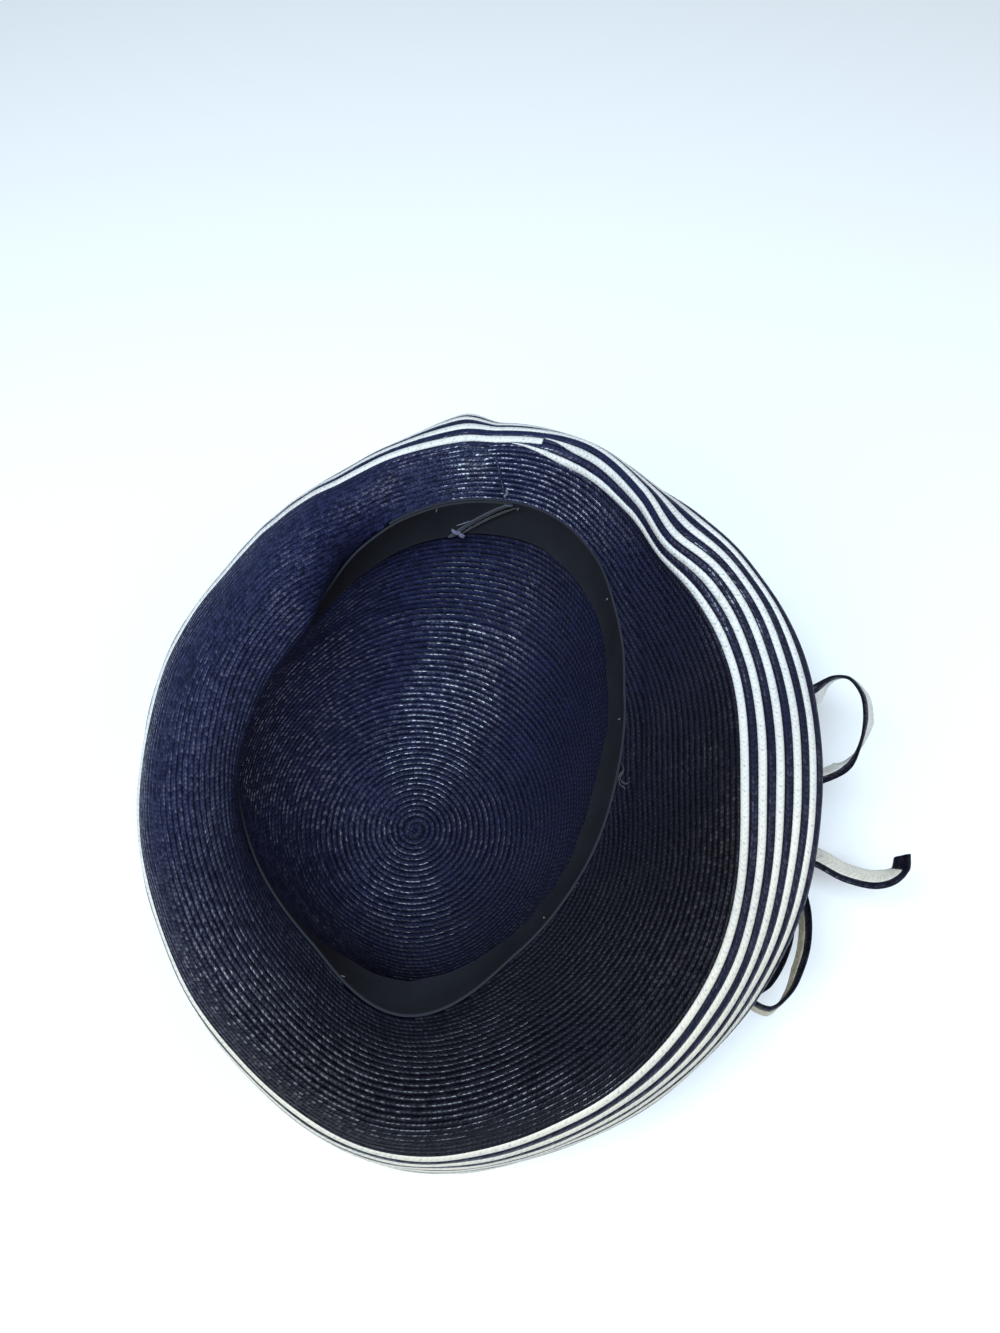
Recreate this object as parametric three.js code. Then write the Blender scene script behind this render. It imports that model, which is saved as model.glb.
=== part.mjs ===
// Sun hat sewn from straw braid, lying on its crown with the head opening up.
//
// Millimetres, +Z up.  The origin is the centre of the crown's flat tip, on its outer face, so
// z = 0 is the surface that the hat lies on.  +Y is the back of the hat, where the braid and the
// sweatband are joined, and +X is the side that carries the bow.
//
// How the hat is made:
//   crown         navy braid wound from the tip to the head opening
//   brim          navy braid from the head opening to the first white row
//   white_stripe  one white braid, wound five times round the rim
//   navy_stripe   one navy braid, wound between and outside the white rows
//   sweatband     ribbon inside the crown, its slanting end laid over its start at the back
//   bow_*         two loops, a tail and a knot of flat braid, sewn to the outside of the crown
//
// The brim stands up from the head opening, then rolls outward and down.  Each section of it is
// a curve whose slope is given at eight stations, and the table below holds a row of slopes for
// each main fold.  Every surface given here is the face that shows when the hat lies on its
// crown, and the straw's thickness goes outward and down from it.

import * as THREE from "three";

// ---------------------------------------------------------------- driving dimensions
const STRAW = 1.4; // thickness of the sewn braid
const GAP = 0.3; // clearance between neighbouring pieces
const AROUND = 56; // sections round the hat

const TIP_FLAT = 34; // radius of the crown's flat tip
const TIP_REACH = 0.52; // how far the crown stays low before it turns up, as a share
const WALL_REACH = 0.55; // how far down the crown's side stays straight, as a share

const OPENING_X = 15; // middle of the head opening, seen from above
const OPENING_Y = 15;

const WHITE_ROW = 3.5; // width that shows of a white row
const NAVY_ROW = 3.2; // width that shows of a navy row between the whites
const TURNS = 5; // white rows round the rim
const SEAM = 80; // azimuth where the rim's braids begin and end
const START_TAPER = 0.045; // share of a turn over which the braids widen at their start
const END_TAPER = 0.2; // share of a turn over which they narrow at their end
const ROW_PERIOD = WHITE_ROW + NAVY_ROW;
const RIM_WIDTH = TURNS * ROW_PERIOD;

const BAND_HEIGHT = 23; // sweatband ribbon
const BAND_THICK = 0.9;
const BAND_EDGES = { top: GAP, middle: GAP + BAND_HEIGHT / 2, bottom: GAP + BAND_HEIGHT };
const BAND_END_TOP = 74; // azimuths of the slanting end, at the ribbon's two edges
const BAND_END_BOTTOM = 88;
const BAND_START = 104; // azimuth of the start, under the slanting end
const BAND_RAMP = 22; // degrees over which the upper layer comes down to the crown

const RIBBON_WIDTH = 9; // flat braid of the bow
const RIBBON_THICK = 1.2;
const RIBBON_PINCH = 0.45; // share of its width that a ribbon is gathered to at the knot
const PINCH_LENGTH = 22; // length over which it opens out again
const KNOT_AZIMUTH = -18; // where the bow is sewn on, round the opening
const KNOT_DROP = 24; // how far below the head opening
const KNOT_SIZE = { out: 9, along: 15, up: 13 };

// One row for each section of the brim, by azimuth from the middle of the head opening.
// radius and height place the head opening, wall is the slope of the crown's side there, lean
// is how far the sweatband's free lower edge stands off that side, and navy is the width of navy
// braid up to the first white row.  root to edge are slopes in degrees: 0 is level, 90 is
// straight up, past 90 leans inward, and below 0 falls outward.
const SECTIONS = table(
  [
    "azimuth", "radius", "height", "wall", "lean", "navy",
    "root", "low", "middle", "high", "first", "second", "third", "edge",
  ],
  [
    [-95, 107, 86,  90, 12, 52,  50,  48, 35,   0, -58, -79, -86, -88],
    [-70,  90, 86,  97,  9, 62,  40,  38, 30,  12, -40, -68, -80, -86],
    [-45,  78, 86,  97,  7, 59,  32,  30, 27,  18, -12, -39, -60, -76],
    [-15,  72, 86,  92,  6, 46,  28,  28, 26,  18,   5,  -3, -11, -37],
    [ 12,  76, 86,  91,  2, 41,  28,  28, 25,  18,   8,   0,  -5, -32],
    [ 26,  83, 87,  90,  2, 34,  24,  23, 20,  21,  46,  32, -12, -44],
    [ 38,  91, 88,  91,  1, 28,  20,  18, 15,  25,  88,  70,  -4, -40],
    [ 50, 101, 89,  89,  1, 23,  25,  22, 20,  28,  80,  55, -42, -62],
    [ 65, 108, 91,  90,  1, 20,  32,  30, 28,  30,  50,  20, -54, -76],
    [ 82, 106, 92,  93,  1, 18,  34,  34, 34,  30,  26,  -7, -38, -66],
    [100,  98, 92, 102,  1, 19,  48,  46, 38,  27,   2, -36, -62, -78],
    [113,  89, 92, 108,  1, 25,  82,  74, 48,  20, -16, -46, -66, -78],
    [127,  78, 91, 119,  1, 44, 125,  98, 50,   8, -29, -56, -70, -78],
    [142,  72, 90, 128,  1, 62, 142, 112, 48,  -8, -40, -63, -74, -80],
    [165,  74, 88, 129,  1, 64, 140, 110, 47, -10, -48, -68, -78, -82],
    [190,  79, 86, 124,  3, 60, 128, 100, 50,  -8, -58, -78, -84, -86],
    [215,  84, 86, 112,  3, 53,  85,  75, 45,  -2, -60, -80, -86, -88],
    [240,  92, 86, 102,  5, 53,  58,  55, 36,   0, -57, -78, -85, -88],
  ]
);

// ---------------------------------------------------------------- small tools
const rad = THREE.MathUtils.degToRad;
const clamp = THREE.MathUtils.clamp;
const smooth = (value, low, high) => THREE.MathUtils.smoothstep(value, low, high);

function table(columns, rows) {
  return rows.map((row) => Object.fromEntries(columns.map((name, i) => [name, row[i]])));
}

// A column of the section table at any azimuth, on a smooth closed curve through its rows.
function around(column, azimuth) {
  const count = SECTIONS.length;
  const first = SECTIONS[0].azimuth;
  const angle = THREE.MathUtils.euclideanModulo(azimuth - first, 360) + first;
  const row = (i) => {
    const turn = Math.floor(i / count);
    const entry = SECTIONS[THREE.MathUtils.euclideanModulo(i, count)];
    return { x: entry.azimuth + 360 * turn, y: entry[column] };
  };
  let i = 0;
  while (row(i + 1).x <= angle) i += 1;
  const [a, b, c, d] = [row(i - 1), row(i), row(i + 1), row(i + 2)];
  const span = c.x - b.x;
  const t = (angle - b.x) / span;
  const slopeB = ((c.y - a.y) / (c.x - a.x)) * span;
  const slopeC = ((d.y - b.y) / (d.x - b.x)) * span;
  const t2 = t * t;
  const t3 = t2 * t;
  return (
    (2 * t3 - 3 * t2 + 1) * b.y + (t3 - 2 * t2 + t) * slopeB + (3 * t2 - 2 * t3) * c.y + (t3 - t2) * slopeC
  );
}

// ---------------------------------------------------------------- the rim's spiral
// A turn is counted from the seam, clockwise seen from above: turn 0 starts the first white row.
const azimuthAt = (turn) => SEAM - 360 * turn;
const turnOf = (azimuth) => THREE.MathUtils.euclideanModulo(SEAM - azimuth, 360) / 360;
const startGrowth = (turn) => smooth(turn, 0, START_TAPER);
const endGrowth = (turn) => 1 - smooth(turn, TURNS - END_TAPER, TURNS);

// Distance across the brim, from the head opening, to the inner edge of the white row at a turn.
function whiteRowStart(turn) {
  return around("navy", azimuthAt(turn)) + ROW_PERIOD * (turn + 1 - startGrowth(turn));
}

// ---------------------------------------------------------------- sections of the brim
// The slope runs smoothly from station to station, and the section is that slope added up.
function brimSection(azimuth) {
  const navy = around("navy", azimuth) + ROW_PERIOD * turnOf(azimuth);
  const stations = [
    [0, "root"],
    [0.18 * navy, "low"],
    [0.36 * navy, "middle"],
    [0.62 * navy, "high"],
    [navy - 2, "first"],
    [navy + 8, "second"],
    [navy + 18, "third"],
    [navy + RIM_WIDTH, "edge"],
  ].map(([distance, column]) => ({ distance, slope: rad(around(column, azimuth)) }));

  const slopeAt = (distance) => {
    let slope = stations[0].slope;
    for (let i = 1; i < stations.length; i += 1) {
      const a = stations[i - 1];
      const b = stations[i];
      if (distance > a.distance) {
        slope = a.slope + (b.slope - a.slope) * smooth(distance, a.distance, b.distance);
      }
    }
    return slope;
  };

  const STEP = 0.5;
  const track = [{ out: around("radius", azimuth), up: around("height", azimuth) }];
  const length = navy + RIM_WIDTH + ROW_PERIOD;
  for (let distance = 0; distance < length; distance += STEP) {
    const slope = slopeAt(distance + STEP / 2);
    const last = track[track.length - 1];
    track.push({ out: last.out + STEP * Math.cos(slope), up: last.up + STEP * Math.sin(slope) });
  }

  const x = Math.cos(rad(azimuth));
  const y = Math.sin(rad(azimuth));
  // A point at a distance across the brim and a depth into the straw.
  return (distance, depth, slope = slopeAt(distance)) => {
    const place = clamp(distance / STEP, 0, track.length - 1.001);
    const i = Math.floor(place);
    const out = THREE.MathUtils.lerp(track[i].out, track[i + 1].out, place - i) + depth * Math.sin(slope);
    const up = THREE.MathUtils.lerp(track[i].up, track[i + 1].up, place - i) - depth * Math.cos(slope);
    return new THREE.Vector3(OPENING_X + out * x, OPENING_Y + out * y, up);
  };
}

// Where the crown and the brim meet, their end faces lie on one slant half way between the two
// slopes, so that neither runs into the other.
function mitre(azimuth) {
  const wall = rad(around("wall", azimuth));
  const root = rad(around("root", azimuth));
  const slope = (wall + root) / 2;
  return { slope, depth: STRAW / Math.cos((wall - root) / 2) };
}

// ---------------------------------------------------------------- sections of the crown
// Each section runs from the flat tip to the head opening on one smooth curve, which stays low
// near the tip and meets the opening at the slope of the crown's side.
function crownSection(azimuth) {
  const x = Math.cos(rad(azimuth));
  const y = Math.sin(rad(azimuth));
  const rim = new THREE.Vector2(
    OPENING_X + around("radius", azimuth) * x,
    OPENING_Y + around("radius", azimuth) * y
  );
  const reach = rim.length();
  const height = around("height", azimuth);
  const wall = rad(around("wall", azimuth));
  const straight = WALL_REACH * height;
  const curve = new THREE.CubicBezierCurve(
    new THREE.Vector2(TIP_FLAT, STRAW),
    new THREE.Vector2(TIP_FLAT + TIP_REACH * (reach - TIP_FLAT), STRAW),
    new THREE.Vector2(reach - straight * Math.cos(wall), height - straight * Math.sin(wall)),
    new THREE.Vector2(reach, height)
  );
  const outward = rim.clone().normalize();
  const place = (out, up) => new THREE.Vector3(outward.x * out, outward.y * out, up);
  return {
    length: curve.getLength(),
    // A point at a distance along the straw from the flat tip, and a depth into it.
    at(distance, depth) {
      const share = curve.getUtoTmapping(0, distance);
      const point = curve.getPoint(share);
      const along = curve.getTangent(share);
      return place(point.x + depth * along.y, point.y - depth * along.x);
    },
    // A point measured down the side from the head opening, and inward from the straw.
    below(distance, inward) {
      return this.at(curve.getLength() - distance, -inward);
    },
    // The end of the side, just below the head opening.
    end(depth) {
      const joint = mitre(azimuth);
      const scale = (depth / STRAW) * joint.depth;
      const out = reach - (GAP / 2) * Math.cos(wall) + scale * Math.sin(joint.slope);
      const up = height - (GAP / 2) * Math.sin(wall) - scale * Math.cos(joint.slope);
      return place(out, up);
    },
  };
}

// ---------------------------------------------------------------- solids from sections
// Joins a list of outlines, each with the same number of points, into one closed body.  With
// ring = true the last outline meets the first, and otherwise both ends are capped.
function loft(outlines, ring) {
  const size = outlines[0].length;
  const points = outlines.flat();
  const faces = [];
  const last = ring ? outlines.length : outlines.length - 1;
  for (let i = 0; i < last; i += 1) {
    const a = i * size;
    const b = ((i + 1) % outlines.length) * size;
    for (let j = 0; j < size; j += 1) {
      const k = (j + 1) % size;
      faces.push([a + j, b + j, b + k], [a + j, b + k, a + k]);
    }
  }
  if (!ring) {
    capEnd(points, faces, 0, size, true);
    capEnd(points, faces, (outlines.length - 1) * size, size, false);
  }
  return bodyFrom(points, faces);
}

// Closes an outline: a small one as a strip, and a wide one as a fan round its middle.
function capEnd(points, faces, start, size, flip) {
  const add = (a, b, c) => faces.push(flip ? [a, b, c] : [a, c, b]);
  if (size <= 8) {
    for (let low = 0, high = size - 1; high - low > 1; ) {
      add(start + low, start + low + 1, start + high);
      low += 1;
      if (high - low > 1) {
        add(start + low, start + high - 1, start + high);
        high -= 1;
      }
    }
    return;
  }
  const middle = new THREE.Vector3();
  for (let j = 0; j < size; j += 1) middle.add(points[start + j]);
  points.push(middle.divideScalar(size));
  for (let j = 0; j < size; j += 1) add(points.length - 1, start + j, start + ((j + 1) % size));
}

function bodyFrom(points, faces) {
  const volume = faces.reduce(
    (sum, [a, b, c]) => sum + points[a].dot(new THREE.Vector3().crossVectors(points[b], points[c])),
    0
  );
  const order = volume > 0 ? faces : faces.map(([a, b, c]) => [a, c, b]);
  const geometry = new THREE.BufferGeometry();
  geometry.setAttribute("position", new THREE.Float32BufferAttribute(points.flatMap((p) => p.toArray()), 3));
  geometry.setIndex(order.flat());
  geometry.computeVertexNormals();
  return geometry;
}

const sectionAzimuths = Array.from({ length: AROUND }, (_, i) => azimuthAt(i / AROUND));

// ---------------------------------------------------------------- crown
function crownGeometry() {
  const RINGS = 10;
  const sections = sectionAzimuths.map(crownSection);
  // Rings evenly spaced up to the sweatband, and two more at its lower edge and its middle.
  const distances = (section) => {
    const dome = section.length - BAND_EDGES.bottom;
    const rings = Array.from({ length: RINGS }, (_, i) => (dome * i) / RINGS);
    return [...rings, dome, section.length - BAND_EDGES.middle];
  };
  const face = (depth) =>
    distances(sections[0]).map((_, i) => sections.map((section) => section.at(distances(section)[i], depth)));
  const outer = face(STRAW);
  const inner = face(0);
  const rim = [STRAW, 0].map((depth) => sections.map((section) => section.end(depth)));
  return loft([...outer, ...rim, ...inner.reverse()], false);
}

// ---------------------------------------------------------------- brim
function brimGeometry() {
  const shares = [0.08, 0.17, 0.26, 0.35, 0.44, 0.53, 0.63, 0.73, 0.82, 0.91, 1];
  const outlines = sectionAzimuths.map((azimuth) => {
    const point = brimSection(azimuth);
    const width = whiteRowStart(turnOf(azimuth)) - GAP / 2;
    const joint = mitre(azimuth);
    const start = [0, joint.depth].map((depth) => point(GAP / 2, depth, joint.slope));
    const upper = shares.map((share) => point(share * width, 0));
    const lower = shares.map((share) => point(share * width, STRAW));
    return [start[0], ...upper, ...lower.reverse(), start[1]];
  });
  return loft(outlines, true);
}

// ---------------------------------------------------------------- striped rim
// Both braids are strips of the rim between two distances, which widen and narrow together.
function stripeGeometry(inside, outside) {
  const outlines = [];
  const STEPS = TURNS * AROUND;
  const THINNEST = 0.12;
  for (let i = 0; i <= STEPS; i += 1) {
    const turn = i / AROUND;
    const growth = Math.max(Math.min(startGrowth(turn), endGrowth(turn)), 0);
    if (growth < THINNEST) continue;
    const point = brimSection(azimuthAt(turn));
    const begin = whiteRowStart(turn) + inside * growth + GAP / 2;
    const finish = whiteRowStart(turn) + outside * growth - GAP / 2;
    outlines.push([point(begin, 0), point(finish, 0), point(finish, STRAW), point(begin, STRAW)]);
  }
  return loft(outlines, false);
}

// ---------------------------------------------------------------- sweatband
// The ribbon starts at BAND_START, runs once round the inside of the crown and climbs over its
// own start, to end on a slant.
function sweatbandGeometry() {
  const LAYER = BAND_THICK + GAP;
  const SLANT_STEPS = 3;
  const finish = BAND_START + 360;
  const plain = sectionAzimuths
    .flatMap((azimuth) => [azimuth + 360, azimuth + 720])
    .filter((azimuth) => azimuth > BAND_END_BOTTOM + 3 && azimuth < finish - 1)
    .sort((a, b) => a - b);
  const ends = { top: BAND_END_TOP, middle: (BAND_END_TOP + BAND_END_BOTTOM) / 2, bottom: BAND_END_BOTTOM };
  const edge = (azimuth, drop) => {
    const lift = LAYER * (1 - smooth(azimuth, BAND_START + 2, BAND_START + BAND_RAMP));
    const section = crownSection(azimuth);
    const near = GAP + lift + (around("lean", azimuth) * (drop - GAP)) / BAND_HEIGHT;
    return [section.below(drop, near), section.below(drop, near + BAND_THICK)];
  };
  const outline = (azimuthOf) => {
    const names = Object.keys(BAND_EDGES);
    const [top, middle, bottom] = names.map((name) => edge(azimuthOf(name), BAND_EDGES[name]));
    return [top[0], top[1], middle[1], bottom[1], bottom[0], middle[0]];
  };
  const slanted = Array.from({ length: SLANT_STEPS }, (_, i) =>
    outline((name) => THREE.MathUtils.lerp(ends[name], plain[0], i / SLANT_STEPS))
  );
  const level = [...plain, finish].map((azimuth) => outline(() => azimuth));
  return loft([...slanted, ...level], false);
}

// ---------------------------------------------------------------- bow
// Each ribbon follows a route of hand-set points that starts at the knot.  x, y and up place its
// navy edge, and the ribbon hangs from there.  swing turns it, in degrees: 0 hangs straight down,
// and 90 lies flat to the right of the route.
const BOW_COLUMNS = ["x", "y", "up", "swing"];
const BOW_LOOP_BACK = table(BOW_COLUMNS, [
  [93.7, -3, 65,   0],
  [108,   4, 67,  10],
  [126,  15, 69,  30],
  [149,  30, 71,  50],
  [169,  42, 71,  50],
  [178,  46, 71,   5],
  [184,  45, 71, -30],
  [188,  38, 71, -42],
  [188,  28, 71, -42],
  [185,  16, 71, -10],
  [180,   6, 70,  45],
  [166,  -1, 70,  55],
  [142,  -7, 69,  30],
  [116,  -9, 67,  10],
  [ 94,  -8, 65,   0],
]);
const BOW_LOOP_FRONT = table(BOW_COLUMNS, [
  [92.5, -14, 64,   0],
  [116, -22, 62,   0],
  [141, -31, 60,   5],
  [157, -37, 60,  15],
  [160, -47, 60,  15],
  [159, -60, 60,  20],
  [155, -71, 60,  20],
  [149, -80, 60,   5],
  [141, -85, 60, -15],
  [135, -82, 60, -10],
  [142, -77, 60, -20],
  [149, -67, 60, -20],
  [153, -55, 60, -20],
  [151, -44, 60, -10],
  [137, -38, 60,   0],
  [115, -28, 60,   0],
  [92, -18, 62,   0],
]);
const BOW_TAIL = table(BOW_COLUMNS, [
  [92.3, -11, 58.5, -20],
  [118, -17, 57, -50],
  [142, -24, 59, -70],
  [162, -31, 61, -75],
  [174, -38, 62, -70],
  [186, -41, 63, -65],
  [194, -39, 64, -55],
  [199, -34, 65, -35],
  [200, -28, 66, -25],
]);

// loop = true gathers the far end too, where the ribbon comes back to the knot.
function ribbonGeometry(route, steps, loop) {
  const curve = new THREE.CatmullRomCurve3(route.map((row) => new THREE.Vector3(row.x, row.y, row.up)));
  const length = curve.getLength();
  const outlines = [];
  for (let i = 0; i <= steps; i += 1) {
    const share = i / steps;
    const edge = curve.getPoint(share);
    const along = curve.getTangent(share);
    const place = clamp(share * (route.length - 1), 0, route.length - 1.001);
    const row = Math.floor(place);
    const swing = rad(THREE.MathUtils.lerp(route[row].swing, route[row + 1].swing, place - row));
    const right = new THREE.Vector3().crossVectors(along, new THREE.Vector3(0, 0, 1)).normalize();
    const across = new THREE.Vector3(0, 0, -Math.cos(swing)).addScaledVector(right, Math.sin(swing));
    const through = new THREE.Vector3().crossVectors(across, along).normalize();
    const fromKnot = length * (loop ? Math.min(share, 1 - share) : share);
    const width = RIBBON_WIDTH * THREE.MathUtils.lerp(RIBBON_PINCH, 1, smooth(fromKnot, 0, PINCH_LENGTH));
    const corner = (a, b) =>
      edge
        .clone()
        .addScaledVector(across, a * width)
        .addScaledVector(through, (b * RIBBON_THICK) / 2);
    outlines.push([corner(0, -1), corner(1, -1), corner(1, 1), corner(0, 1)]);
  }
  return loft(outlines, false);
}

// The knot is a short wrapped bundle with rounded corners, against the outside of the crown.
function knotGeometry() {
  const outlines = [];
  const SLICES = 8;
  const POINTS = 12;
  for (let i = 0; i <= SLICES; i += 1) {
    const along = (i / SLICES - 0.5) * 2;
    const swell = 0.72 + 0.28 * Math.sqrt(1 - along * along * 0.9);
    outlines.push(
      Array.from({ length: POINTS }, (_, j) => {
        const angle = (j / POINTS) * 2 * Math.PI;
        const out = (KNOT_SIZE.out / 2) * swell * Math.cos(angle);
        const up = (KNOT_SIZE.up / 2) * swell * Math.sin(angle);
        return new THREE.Vector3(out, (along * KNOT_SIZE.along) / 2, up);
      })
    );
  }
  return loft(outlines, false);
}

// ---------------------------------------------------------------- the hat
const hat = new THREE.Group();

const strawMaterial = (color) => new THREE.MeshStandardMaterial({ color, roughness: 0.35, metalness: 0 });
const NAVY = 0x1a2140;
const WHITE = 0xe2e4e0;
const GROSGRAIN = new THREE.MeshStandardMaterial({ color: 0x2a2f38, roughness: 0.8, metalness: 0 });

function addPiece(name, geometry, material) {
  const piece = new THREE.Mesh(geometry, material);
  piece.name = name;
  hat.add(piece);
  return piece;
}

addPiece("crown", crownGeometry(), strawMaterial(NAVY));
addPiece("brim", brimGeometry(), strawMaterial(NAVY));
addPiece("white_stripe", stripeGeometry(0, WHITE_ROW), strawMaterial(WHITE));
addPiece("navy_stripe", stripeGeometry(WHITE_ROW, ROW_PERIOD), strawMaterial(NAVY));
addPiece("sweatband", sweatbandGeometry(), GROSGRAIN);
addPiece("bow_loop_back", ribbonGeometry(BOW_LOOP_BACK, 28, true), strawMaterial(WHITE));
addPiece("bow_loop_front", ribbonGeometry(BOW_LOOP_FRONT, 30, true), strawMaterial(WHITE));
addPiece("bow_tail", ribbonGeometry(BOW_TAIL, 16, false), strawMaterial(WHITE));

const knot = addPiece("bow_knot", knotGeometry(), strawMaterial(WHITE));
// The knot sits square on the crown's side.
const side = crownSection(KNOT_AZIMUTH);
const seat = side.below(KNOT_DROP, -STRAW - 2 * GAP - KNOT_SIZE.out / 2);
const outward = seat.clone().sub(side.below(KNOT_DROP, 0)).normalize();
const along = new THREE.Vector3(0, 0, 1).cross(outward).normalize();
const upward = outward.clone().cross(along);
knot.position.copy(seat);
knot.quaternion.setFromRotationMatrix(new THREE.Matrix4().makeBasis(outward, along, upward));

export default hat;
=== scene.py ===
import math

import bpy
import numpy as np
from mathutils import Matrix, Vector


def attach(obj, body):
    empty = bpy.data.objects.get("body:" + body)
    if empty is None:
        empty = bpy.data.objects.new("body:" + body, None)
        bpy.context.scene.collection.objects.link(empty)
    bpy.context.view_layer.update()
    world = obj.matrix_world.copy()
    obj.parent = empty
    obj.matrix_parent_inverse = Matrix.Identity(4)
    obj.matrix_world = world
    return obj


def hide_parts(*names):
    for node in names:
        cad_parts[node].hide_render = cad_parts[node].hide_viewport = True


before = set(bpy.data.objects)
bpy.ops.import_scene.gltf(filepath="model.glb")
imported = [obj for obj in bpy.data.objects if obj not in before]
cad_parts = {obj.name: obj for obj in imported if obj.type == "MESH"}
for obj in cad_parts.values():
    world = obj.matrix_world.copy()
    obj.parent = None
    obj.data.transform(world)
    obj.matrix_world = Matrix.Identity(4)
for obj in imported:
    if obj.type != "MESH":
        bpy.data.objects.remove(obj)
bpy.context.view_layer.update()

# A sun hat sewn from straw braid, lying on its crown with the head opening up.
#
# The sections of the crown and the brim are the ones that the solids are lofted through, and
# every braid is laid along them as a closed strip with rounded faces.  Lengths here are in
# millimetres, angles in degrees, and MM turns a length into metres when a mesh is made.
MM = 0.001

# ---------------------------------------------------------------- driving dimensions
STRAW = 1.4  # thickness of the sewn braid
GAP = 0.3  # clearance between the solids

TIP_FLAT = 34  # radius of the crown's flat tip
TIP_REACH = 0.52  # how far the crown stays low before it turns up, as a share
WALL_REACH = 0.55  # how far down the crown's side stays straight, as a share

OPENING = np.array([15.0, 15.0])  # middle of the head opening, seen from above

WHITE_ROW = 3.5  # width that shows of a white row
NAVY_ROW = 3.2  # width that shows of a navy row between the whites
TURNS = 5  # white rows round the rim
SPLICE = 1.024  # turn of the white braid where one length ends and the next begins
SPLICE_GAP = 0.0008  # share of a turn between the two
SPLICE_TAPER = 0.020  # share of a turn over which the second one widens from its outer edge
SEAM = 80  # azimuth where the rim's braids begin and end
START_TAPER = 0.045  # share of a turn over which the braids widen at their start
END_TAPER = 0.2  # share of a turn over which they narrow at their end
ROW_PERIOD = WHITE_ROW + NAVY_ROW
RIM_WIDTH = TURNS * ROW_PERIOD

BAND_HEIGHT = 23  # sweatband ribbon
BAND_THICK = 0.9
BAND_END_TOP = 74  # azimuths of the slanting end, at the ribbon's two edges
BAND_END_BOTTOM = 88
BAND_START = 104  # azimuth of the start, under the slanting end
BAND_RAMP = 22  # degrees over which the upper layer comes down to the crown

RIBBON_WIDTH = 9  # flat braid of the bow
RIBBON_THICK = 1.2
RIBBON_EDGE = 3.4  # navy part of it
KNOT_AZIMUTH = -18
KNOT_DROP = 24  # distance of its middle below the head opening, along the crown
KNOT_SIZE = (9, 15, 13)  # outward, along the hat's side and up it
RIBBON_PINCH = 0.45  # share of its width that a ribbon is gathered to at the knot
PINCH_LENGTH = 22  # length over which it opens out again

BRIM_RIPPLE = 0.7  # unevenness of the straw, on the brim and on the crown
CROWN_RIPPLE = 0.6
CROWN_PITCH = 2.5  # from row to row of the crown
CROWN_ROWS = 66  # rows from the tip to the head opening
BRIM_PITCH = 2.15  # from row to row of the navy brim


def table(columns, rows):
    return {name: np.array([row[i] for row in rows], float) for i, name in enumerate(columns)}


# One row for each section, by azimuth from the middle of the head opening.  radius and height
# place the head opening, wall is the slope of the crown's side there, lean is how far the
# sweatband's free lower edge stands off that side, and navy is the width of navy braid up to
# the first white row.  root to edge are slopes of the brim: 0 is level, 90 is straight up, past
# 90 leans inward, and below 0 falls outward.
SECTIONS = table(
    [
        "azimuth", "radius", "height", "wall", "lean", "navy",
        "root", "low", "middle", "high", "first", "second", "third", "edge",
    ],
    [
        [-95, 107, 86,  90, 12, 52,  50,  48, 35,   0, -58, -79, -86, -88],
        [-70,  90, 86,  97,  9, 62,  40,  38, 30,  12, -40, -68, -80, -86],
        [-45,  78, 86,  97,  7, 59,  32,  30, 27,  18, -12, -39, -60, -76],
        [-15,  72, 86,  92,  6, 46,  28,  28, 26,  18,   5,  -3, -11, -37],
        [ 12,  76, 86,  91,  2, 41,  28,  28, 25,  18,   8,   0,  -5, -32],
        [ 26,  83, 87,  90,  2, 34,  24,  23, 20,  21,  46,  32, -12, -44],
        [ 38,  91, 88,  91,  1, 28,  20,  18, 15,  25,  88,  70,  -4, -40],
        [ 50, 101, 89,  89,  1, 23,  25,  22, 20,  28,  80,  55, -42, -62],
        [ 65, 108, 91,  90,  1, 20,  32,  30, 28,  30,  50,  20, -54, -76],
        [ 82, 106, 92,  93,  1, 18,  34,  34, 34,  30,  26,  -7, -38, -66],
        [100,  98, 92, 102,  1, 19,  48,  46, 38,  27,   2, -36, -62, -78],
        [113,  89, 92, 108,  1, 25,  82,  74, 48,  20, -16, -46, -66, -78],
        [127,  78, 91, 119,  1, 44, 125,  98, 50,   8, -29, -56, -70, -78],
        [142,  72, 90, 128,  1, 62, 142, 112, 48,  -8, -40, -63, -74, -80],
        [165,  74, 88, 129,  1, 64, 140, 110, 47, -10, -48, -68, -78, -82],
        [190,  79, 86, 124,  3, 60, 128, 100, 50,  -8, -58, -78, -84, -86],
        [215,  84, 86, 112,  3, 53,  85,  75, 45,  -2, -60, -80, -86, -88],
        [240,  92, 86, 102,  5, 53,  58,  55, 36,   0, -57, -78, -85, -88],
    ],
)


# ---------------------------------------------------------------- small tools
def smooth(value, low, high):
    share = np.clip((value - low) / (high - low), 0, 1)
    return share * share * (3 - 2 * share)


def unit(vectors):
    return vectors / np.maximum(np.linalg.norm(vectors, axis=-1, keepdims=True), 1e-9)


def cosine(degrees):
    return np.cos(np.radians(degrees))


def sine(degrees):
    return np.sin(np.radians(degrees))


def bend(t, start, start_slope, finish, finish_slope):
    """A smooth curve from start to finish as t runs from 0 to 1, with its slopes at both."""
    return (
        (2 * t**3 - 3 * t**2 + 1) * start
        + (t**3 - 2 * t**2 + t) * start_slope
        + (3 * t**2 - 2 * t**3) * finish
        + (t**3 - t**2) * finish_slope
    )


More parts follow.
